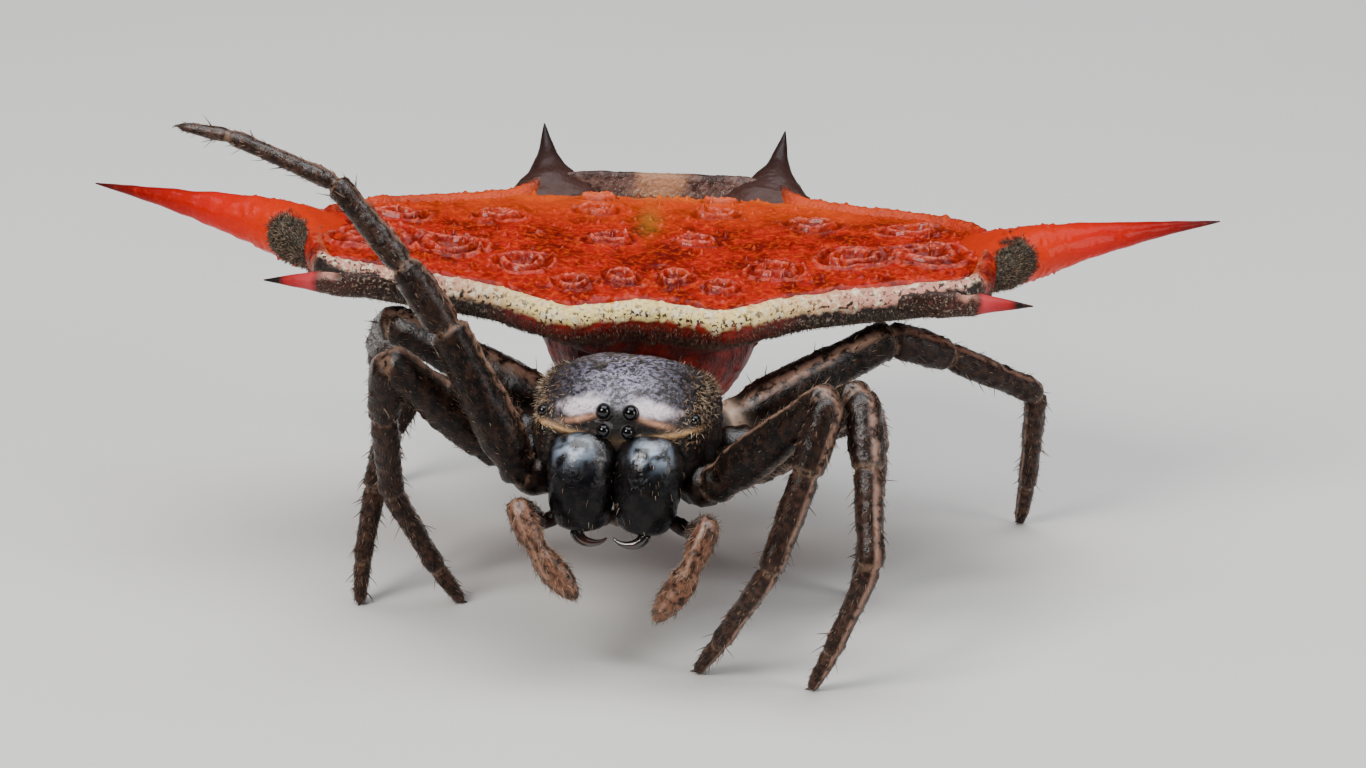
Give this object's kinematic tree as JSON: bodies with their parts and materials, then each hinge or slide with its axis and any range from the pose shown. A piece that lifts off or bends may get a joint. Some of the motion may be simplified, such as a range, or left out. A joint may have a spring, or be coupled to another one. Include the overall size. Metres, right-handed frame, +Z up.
{
  "type": "spiny orb-weaver spider",
  "caption": "Broad red spiny orb-weaving spider, standing: a wide hard abdomen with long side spines, short corner spines and a pale front rim, over dark glossy legs.",
  "frame": {"origin": "centre of the bounding box, on the floor that the feet stand on", "axes": "the spider faces -Y, +Z is up, and +X runs along the line of the long side spines, to the spider's own left"},
  "size_m": [0.021, 0.0128, 0.0094],
  "materials": {
    "red_shell": "hard, waxy-glossy red to orange shell with raised rings and a cream front rim",
    "black_shell": "polished blue-black shell with fine hairs",
    "dark_leg": "dark brown satin shell with paler edges and short bristles",
    "fang": "polished dark red-brown claw",
    "eye": "mirror-smooth black lens"
  },
  "bodies": {
    "root": {"abdomen": "red_shell", "prosoma": "black_shell", "pedicel": "black_shell", "mouthparts": "black_shell", "spinnerets": "black_shell", "chelicera_left": "black_shell", "fang_left": "fang", "palp_left": "dark_leg", "chelicera_right": "black_shell", "fang_right": "fang", "palp_right": "dark_leg", "leg_1_left": "dark_leg", "leg_1_right": "dark_leg", "leg_2_left": "dark_leg", "leg_2_right": "dark_leg", "leg_3_left": "dark_leg", "leg_3_right": "dark_leg", "leg_4_left": "dark_leg", "leg_4_right": "dark_leg", "eye_front_median_left": "eye", "eye_front_median_right": "eye", "eye_back_median_left": "eye", "eye_back_median_right": "eye", "eye_front_side_left": "eye", "eye_front_side_right": "eye", "eye_back_side_left": "eye", "eye_back_side_right": "eye"}
  },
  "joints": []
}
